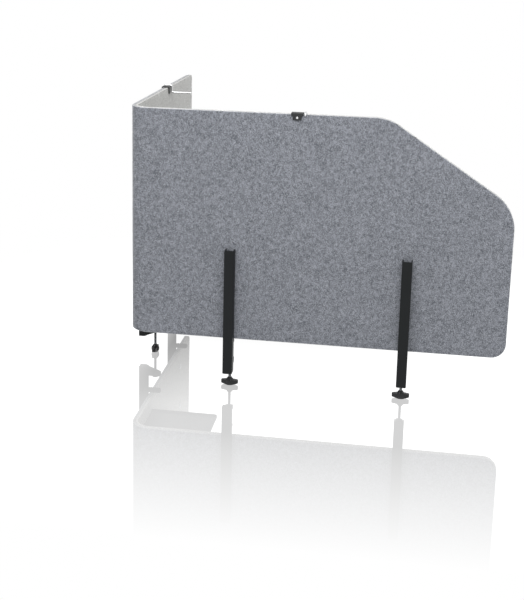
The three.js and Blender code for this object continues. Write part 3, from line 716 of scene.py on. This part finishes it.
pad_low, pad_high = at_clamp("pressure_pad")
pad_radius = pad_high.x
pad_chamfer = 0.0006
socket_radius = 0.0023
socket_roof = shoulder + 0.002
ring_depth = 0.0003
pad_rings = ((0.0054, 0.0052, 0.0048, 0.0046), (0.0032, 0.0030, 0.0026, 0.0024))
pad_profile = [
    (0, socket_roof), (socket_radius, socket_roof), (socket_radius, pad_low.z),
    (pad_radius - pad_chamfer, pad_low.z), (pad_radius, pad_low.z + pad_chamfer),
    (pad_radius, pad_high.z - pad_chamfer), (pad_radius - pad_chamfer, pad_high.z),
]
for outer_edge, outer_floor, inner_floor, inner_edge in pad_rings:
    pad_profile += [
        (outer_edge, pad_high.z), (outer_floor, pad_high.z - ring_depth),
        (inner_floor, pad_high.z - ring_depth), (inner_edge, pad_high.z),
    ]
pad = turned(pad_profile + [(0, pad_high.z)])
moved(pad, Matrix.Translation((0, axis_y, 0)))
on_clamps("swivel_pad", "pressure_pad", pad, black_steel, "pad", "dark_steel", soften=0.0001)


# Winged knobs
# Glass-filled nylon moulded round the spindle's foot in one piece: a hub that flares to a cone, and
# two wings that thin towards their tips. The grain of the mould keeps the gloss low.
black_plastic = moulded("moulded black nylon", "#17181A", 0.0009, 0.00005, 0.42, 0.35)
knob_high = at_clamp("wing_knob")[1]
knob_half = knob_high.x
knob_height = knob_high.z
land_radius = 0.0045
hub_radius = 0.0092
hub_flare = 0.0045
hub_top_radius = 0.0043
hub_shoulder = 0.010
wing_root_half = 0.0065
wing_tip_half = 0.0042
wing_tip_round = 0.0029
wing_tip_foot = 0.004
wing_tip_top = 0.0108
wing_root_top = 0.0126
knob_voxel = 0.0004
flare_ease = (0.0006, 0.0009)
shoulder_ease = (0.0004, 0.0012)
hub_edge = 0.0006
mouth_radius = thread_crest + 0.0003
mouth_floor = knob_height - 0.003
hub = turned([
    (0, 0), (land_radius, 0), (hub_radius - flare_ease[0], hub_flare - flare_ease[1]),
    (hub_radius, hub_flare), (hub_radius, hub_shoulder),
    (hub_radius - shoulder_ease[0], hub_shoulder + shoulder_ease[1]),
    (hub_top_radius, knob_height - hub_edge), (hub_top_radius - hub_edge, knob_height),
    (mouth_radius, knob_height), (mouth_radius, mouth_floor), (0, mouth_floor),
])
wings = blank([
    (-knob_half, -wing_tip_half, wing_tip_round), (0, -wing_root_half, 0),
    (knob_half, -wing_tip_half, wing_tip_round), (knob_half, wing_tip_half, wing_tip_round),
    (0, wing_root_half, 0), (-knob_half, wing_tip_half, wing_tip_round),
])
raised(wings, wing_root_top)
for side in (-1, 1):
    fall = (wing_root_top - wing_tip_top) / knob_half
    rise = wing_tip_foot / (knob_half - land_radius)
    shaved(wings, (0, 0, wing_root_top), (side * fall, 0, 1))
    shaved(wings, (side * land_radius, 0, 0), (side * rise, 0, -1))
wings_mesh = bpy.data.meshes.new("knob wings")
wings.to_mesh(wings_mesh)
wings.free()
hub.from_mesh(wings_mesh)
bpy.data.meshes.remove(wings_mesh)
moved(hub, Matrix.Translation((0, axis_y, 0)))
on_clamps("knob", "wing_knob", hub, black_plastic, "screw", "black_plastic")
for clamp in clamps:
    knob = bpy.data.objects["knob_" + clamp]
    skin = knob.modifiers.new("one moulding", "REMESH")
    skin.mode = "VOXEL"
    skin.voxel_size = knob_voxel
    skin.use_smooth_shade = True
    ease = knob.modifiers.new("rounded mould", "SMOOTH")
    ease.factor = 0.5
    ease.iterations = 5


# Screws through the felt
# Two broad-headed screws hold each bar from the inner face. Their crowned heads are zinc plated and
# spread the load on the felt, and each has a hexagon socket.
point_share = 0.6
rim_share = 0.35
land_share = 1.25
crown_steps = 5
screw_steps = 32


def screw(radius, tip, under, head, head_height, recess, recess_depth):
    """A screw along Z with a crowned head, whose driver's recess is an outline in X and Y."""
    reach = max(math.hypot(x, y) for x, y in recess)
    crown = [(head, under), (head, under + head_height * rim_share)]
    for i in range(1, crown_steps + 1):
        share = i / crown_steps
        rise = rim_share + (1 - rim_share) * math.sin(share * math.pi / 2)
        crown.append((head + (reach * land_share - head) * share, under + head_height * rise))
    point = radius * point_share
    shank = [(0, tip), (point, tip), (radius, tip + point), (radius, under)]
    bm = turned(shank + crown, screw_steps)
    face = under + head_height
    rim = [e for e in bm.edges if e.is_boundary]
    ring = [bm.verts.new((x, y, face)) for x, y in recess]
    edges = [bm.edges.new((ring[i - 1], ring[i])) for i in range(len(ring))]
    bmesh.ops.bridge_loops(bm, edges=rim + edges)
    walls = bmesh.ops.extrude_edge_only(bm, edges=edges)["geom"]
    deep = [v for v in walls if isinstance(v, bmesh.types.BMVert)]
    bmesh.ops.translate(bm, vec=(0, 0, -recess_depth), verts=deep)
    mouth = [e for e in walls if isinstance(e, bmesh.types.BMEdge) and e.is_boundary]
    bmesh.ops.contextual_create(bm, geom=mouth)
    return bm


lay_inward = Matrix.Rotation(-math.pi / 2, 4, "X")
fixing_radius = 0.002
fixing_head = 0.007
fixing_head_height = 0.002
fixing_recess = 0.0013
hexagon_reach = 0.002
hexagon = [
    (hexagon_reach * math.cos(math.pi / 3 * i), hexagon_reach * math.sin(math.pi / 3 * i))
    for i in range(6)
]
for tail in ("a", "b"):
    low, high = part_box("felt_screw_front_1_" + tail)
    here = [end - wing_place(*clamps["front_1"]).translation for end in (low, high)]
    fixing = screw(fixing_radius, here[0].y, here[1].y - fixing_head_height, fixing_head,
                   fixing_head_height, hexagon, fixing_recess)
    moved(fixing, lay_inward, Matrix.Translation((0, 0, (low.z + high.z) / 2)))
    on_clamps("fixing", "felt_screw", fixing, zinc, "screen", "zinc", soften=0.00015,
              tail="_" + tail)


# Saddle clips and hook rods
# A folded steel saddle, powder coated black, straddles the top edge on each wing, and a bright pan
# head screw goes through its tab. Beside it a bright nickel plated rod is bent over the edge, down
# the inner face and out into the room, where things hang on it.
bright_steel = plated("bright nickel plated steel", "#E4E5E6", 0.16, 0.0016, 0.00001)
cross_half = 0.0004
cross_reach = 0.0015
cross = [
    (cross_half, cross_reach), (cross_half, cross_half), (cross_reach, cross_half),
    (cross_reach, -cross_half), (cross_half, -cross_half), (cross_half, -cross_reach),
    (-cross_half, -cross_reach), (-cross_half, -cross_half), (-cross_reach, -cross_half),
    (-cross_reach, cross_half), (-cross_half, cross_half), (-cross_half, cross_reach),
]
rod_radius = 0.0022
rod_bend = 0.0037
rod_lip = 0.003
rod_drop = 0.014
rod_segments = 28
rod_bend_steps = 10
clip_screw_radius = 0.0015
clip_head = 0.0026
clip_head_height = 0.0011
clip_recess = 0.0006


def bent_rod(radius, start, heading, runs):
    """A round rod in Y and Z, from a start with a heading, through (length, turn, bend) runs."""
    bm = bmesh.new()
    place = Vector((0, *start))
    turn_to = Matrix.Rotation(heading - math.pi / 2, 4, "X")
    bmesh.ops.create_circle(bm, cap_ends=True, radius=radius, segments=rod_segments,
                            matrix=Matrix.Translation(place) @ turn_to)
    face = bm.faces[:][0]
    for length, turn, bend in runs:
        ahead = Vector((0, math.cos(heading), math.sin(heading)))
        made = bmesh.ops.extrude_face_region(bm, geom=[face])["geom"]
        end = [v for v in made if isinstance(v, bmesh.types.BMVert)]
        bmesh.ops.translate(bm, vec=ahead * length, verts=end)
        face = [f for f in made if isinstance(f, bmesh.types.BMFace)][0]
        place += ahead * length
        if turn:
            side = math.copysign(1, turn)
            centre = place + Vector((0, -ahead.z, ahead.y)) * bend * side
            last = bmesh.ops.spin(bm, geom=[face] + face.edges[:] + face.verts[:], cent=centre,
                                  axis=(side, 0, 0), dvec=(0, 0, 0), angle=abs(turn),
                                  steps=rod_bend_steps)["geom_last"]
            face = [f for f in last if isinstance(f, bmesh.types.BMFace)][0]
            place = centre + Matrix.Rotation(turn, 3, "X") @ (place - centre)
            heading += turn
    return bm


lay_outward = Matrix.Rotation(math.pi / 2, 4, "X")
gloss_coat = powder_coat("gloss black powder coat", "#17191A", 0.5)
for wing in ("front", "side"):
    low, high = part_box("saddle_" + wing)
    middle = (low + high) / 2 - corner
    to_clip = wing_place(wing, middle.x if wing == "front" else middle.y)
    saddle = softened_copy("saddle_" + wing)
    linked("clip_" + wing, saddle, [gloss_coat], "screen", "black_coat", "saddle_" + wing,
           soften=0.0004)
    low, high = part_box("clip_screw_" + wing)
    ends = [to_clip.inverted() @ end for end in (low, high)]
    outside = -min(end.y for end in ends)
    deep = max(end.y for end in ends)
    pan = screw(clip_screw_radius, -deep, outside - clip_head_height, clip_head, clip_head_height,
                cross, clip_recess)
    moved(pan, lay_outward, Matrix.Translation((0, 0, (low.z + high.z) / 2)), to_clip)
    linked("pan_screw_" + wing, pan, [bright_steel], "screen", "bright_steel", "clip_screw_" + wing,
           soften=0.0001)
    low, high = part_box("hook_rod_" + wing)
    ends = [to_clip.inverted() @ end for end in (low, high)]
    across = (ends[0].x + ends[1].x) / 2
    near = min(end.y for end in ends) + rod_radius
    far = max(end.y for end in ends)
    over = high.z - rod_radius
    inner = felt_thickness - near
    rod = bent_rod(rod_radius, (near, top - rod_lip), math.pi / 2, [
        (over - (top - rod_lip) - rod_bend, -math.pi / 2, rod_bend),
        (inner - near - 2 * rod_bend, -math.pi / 2, rod_bend),
        (over - (top - rod_drop) - 2 * rod_bend, math.pi / 2, rod_bend),
        (far - inner - rod_bend, 0, 0),
    ])
    moved(rod, Matrix.Translation((across, 0, 0)), to_clip)
    linked("bent_rod_" + wing, rod, [bright_steel], "screen", "bright_steel", "hook_rod_" + wing,
           soften=0.0006, steps=3)


# Corner plate
# A plate of folded 2 mm sheet braces the inner corner. Two flanges stand up against the felt, each
# with two pan head screws, and short lips stiffen its free edges. It is powder coated grey.
brace_screw_radius = 0.002
brace_head = 0.004
brace_head_height = 0.002
brace_recess = 0.001
brace_cross_scale = 1.4
brace_cross = [(x * brace_cross_scale, y * brace_cross_scale) for x, y in cross]
grey_coat = powder_coat("grey powder coat", "#747679", 0.35)
linked("brace", softened_copy("corner_plate"), [grey_coat], "screen", "grey_coat", "corner_plate",
       soften=0.0004)
for wing in ("front", "side"):
    for tail in ("a", "b"):
        node = "plate_screw_" + wing + "_" + tail
        low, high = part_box(node)
        middle = (low + high) / 2 - corner
        to_screw = wing_place(wing, middle.x if wing == "front" else middle.y)
        ends = [(to_screw.inverted() @ end).y for end in (low, high)]
        pan = screw(brace_screw_radius, min(ends), max(ends) - brace_head_height, brace_head,
                    brace_head_height, brace_cross, brace_recess)
        moved(pan, lay_inward, Matrix.Translation((0, 0, middle.z)), to_screw)
        linked("brace_screw_" + wing + "_" + tail, pan, [zinc], "screen", "zinc", node,
               soften=0.0001)
